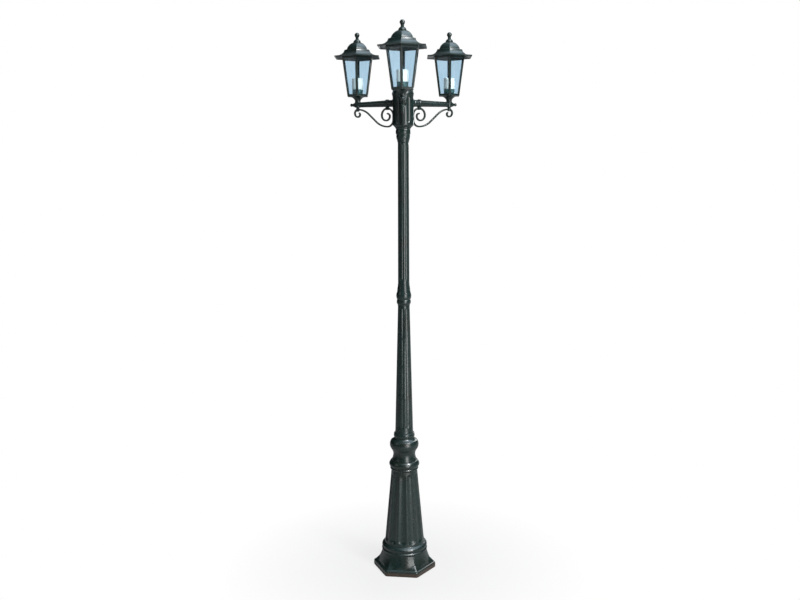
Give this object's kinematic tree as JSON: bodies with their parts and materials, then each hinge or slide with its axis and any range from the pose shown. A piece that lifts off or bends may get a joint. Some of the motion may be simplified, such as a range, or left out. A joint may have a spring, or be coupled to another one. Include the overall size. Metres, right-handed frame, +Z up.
{
  "type": "lamp post",
  "caption": "Garden lamp post: fluted cast post on a hexagonal foot, with scrolled arms at 120 degrees that carry tapered hexagonal lanterns with lift-off roofs.",
  "frame": {"origin": "on the post's axis, at the ground under the foot", "axes": "+Z up along the post; -Y along the front arm, which points at the camera of the picture; the other arms are at 30 and 150 degrees from +X"},
  "size_m": [0.5682, 0.5448, 2.2985],
  "materials": {
    "painted_casting": "dark green-black gloss paint on cast aluminium",
    "painted_bar": "dark green-black gloss paint on bent flat bar",
    "painted_screws": "dark painted screw heads",
    "zinc_steel": "zinc-plated steel",
    "terminal_plastic": "white moulded plastic",
    "panes": "clear panes with a pale blue tint",
    "holder_metal": "grey-green painted steel",
    "holder_ceramic": "white glazed ceramic",
    "brass_parts": "plain brass"
  },
  "bodies": {
    "post": {"base_casting": "painted_casting", "base_collar": "painted_casting", "lower_column": "painted_casting", "mid_collar": "painted_casting", "upper_column": "painted_casting", "top_collar": "painted_casting", "hub": "painted_casting", "hub_cap": "painted_casting", "tie_plate": "zinc_steel", "tie_nuts": "zinc_steel", "tie_washer": "zinc_steel", "tie_tube": "zinc_steel", "tie_plate_screws": "zinc_steel", "arm_nuts": "zinc_steel", "hub_cap_screws": "painted_screws", "nipple_nuts": "brass_parts", "terminal_block": "terminal_plastic", "arm_front": "painted_casting", "arm_ball_front": "painted_casting", "eye_nut_front": "painted_casting", "lantern_cup_front": "painted_casting", "lantern_frame_front": "painted_casting", "scroll_front": "painted_bar", "scroll_strap_front": "painted_bar", "lantern_panes_front": "panes", "holder_base_front": "holder_metal", "holder_sleeve_front": "holder_ceramic", "lamp_socket_front": "brass_parts", "nipple_front": "brass_parts", "arm_right": "painted_casting", "arm_ball_right": "painted_casting", "eye_nut_right": "painted_casting", "lantern_cup_right": "painted_casting", "lantern_frame_right": "painted_casting", "scroll_right": "painted_bar", "scroll_strap_right": "painted_bar", "lantern_panes_right": "panes", "holder_base_right": "holder_metal", "holder_sleeve_right": "holder_ceramic", "lamp_socket_right": "brass_parts", "nipple_right": "brass_parts", "arm_left": "painted_casting", "arm_ball_left": "painted_casting", "eye_nut_left": "painted_casting", "lantern_cup_left": "painted_casting", "lantern_frame_left": "painted_casting", "scroll_left": "painted_bar", "scroll_strap_left": "painted_bar", "lantern_panes_left": "panes", "holder_base_left": "holder_metal", "holder_sleeve_left": "holder_ceramic", "lamp_socket_left": "brass_parts", "nipple_left": "brass_parts"},
    "roof_front": {"lantern_roof_front": "painted_casting", "roof_finial_front": "painted_casting"},
    "roof_right": {"lantern_roof_right": "painted_casting", "roof_finial_right": "painted_casting"},
    "roof_left": {"lantern_roof_left": "painted_casting", "roof_finial_left": "painted_casting"}
  },
  "joints": [
    {"name": "roof_lift_front", "type": "slide", "parent": "post", "child": "roof_front", "axis": [0, 0, 1], "range_m": [0, 0.12]},
    {"name": "roof_lift_right", "type": "slide", "parent": "post", "child": "roof_right", "axis": [0, 0, 1], "range_m": [0, 0.12]},
    {"name": "roof_lift_left", "type": "slide", "parent": "post", "child": "roof_left", "axis": [0, 0, 1], "range_m": [0, 0.12]}
  ]
}
